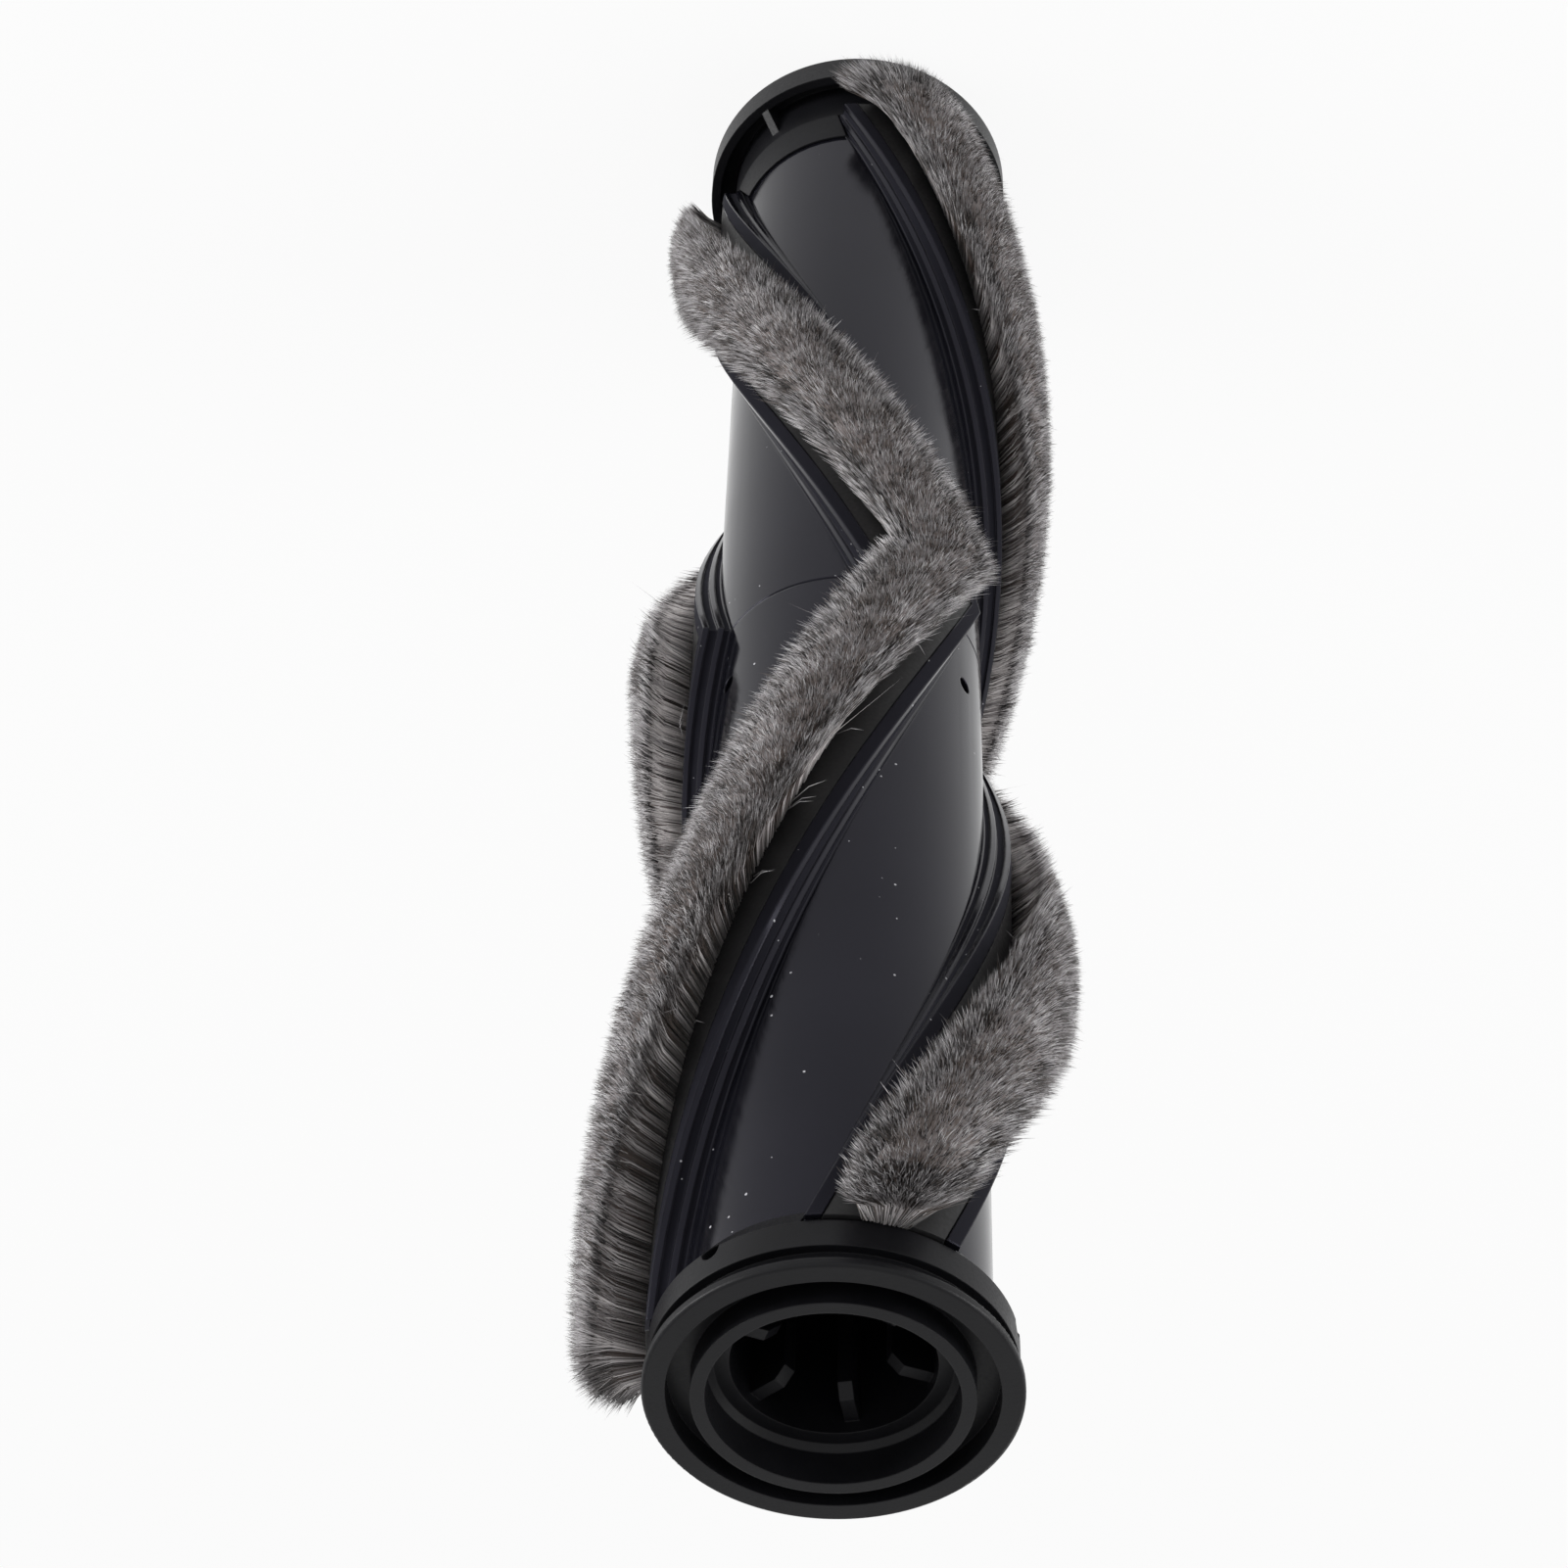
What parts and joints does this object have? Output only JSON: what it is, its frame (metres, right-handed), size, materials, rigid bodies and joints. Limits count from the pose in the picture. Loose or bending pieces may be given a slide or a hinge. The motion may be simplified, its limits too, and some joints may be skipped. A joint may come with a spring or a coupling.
{
  "type": "vacuum roller brush",
  "caption": "Hollow vacuum roller brush: chevron rails hold soft pile strips, with a ribbed drive socket at the top and a ball-bearing idle cap at the foot.",
  "frame": {"origin": "centre of the idle end's flat base, on the roller axis", "axes": "+Z along the roller axis from the idle end to the drive end, -Y towards the side the picture shows"},
  "size_m": [0.0546, 0.0546, 0.237],
  "materials": {
    "gloss_black": "glossy moulded",
    "cap_black": "fine spark-eroded grain",
    "pile_grey": "soft mixed pile",
    "backing_brown": "smooth dull strip",
    "bearing_steel": "ground",
    "cage_steel": "pressed sheet",
    "spring_steel": "dark spring steel",
    "bush_white": "smooth acetal"
  },
  "bodies": {
    "roller": {"roller_tube": "gloss_black", "drive_end_cap": "cap_black", "idle_end_cap": "cap_black", "drive_brush_pile_1": "pile_grey", "drive_brush_pile_2": "pile_grey", "drive_brush_pile_3": "pile_grey", "idle_brush_pile_1": "pile_grey", "idle_brush_pile_2": "pile_grey", "idle_brush_pile_3": "pile_grey", "drive_strip_backing_1": "backing_brown", "drive_strip_backing_2": "backing_brown", "drive_strip_backing_3": "backing_brown", "idle_strip_backing_1": "backing_brown", "idle_strip_backing_2": "backing_brown", "idle_strip_backing_3": "backing_brown", "retaining_ring": "spring_steel", "bearing_outer_ring": "bearing_steel", "bearing_shield_lower": "cage_steel", "bearing_shield_upper": "cage_steel"},
    "axle": {"bearing_inner_ring": "bearing_steel", "axle_bush": "bush_white"},
    "ball_set": {"bearing_cage": "cage_steel", "bearing_balls": "bearing_steel"}
  },
  "joints": [
    {"name": "axle_spin", "type": "hinge", "parent": "roller", "child": "axle", "pos_m": [0, 0, 0.0049], "axis": [0, 0, 1], "continuous": true},
    {"name": "ball_set_spin", "type": "hinge", "parent": "roller", "child": "ball_set", "pos_m": [0, 0, 0.0049], "axis": [0, 0, 1], "continuous": true}
  ],
  "couplings": [
    {"joint": "ball_set_spin", "follows": "axle_spin", "ratio": 0.36}
  ]
}
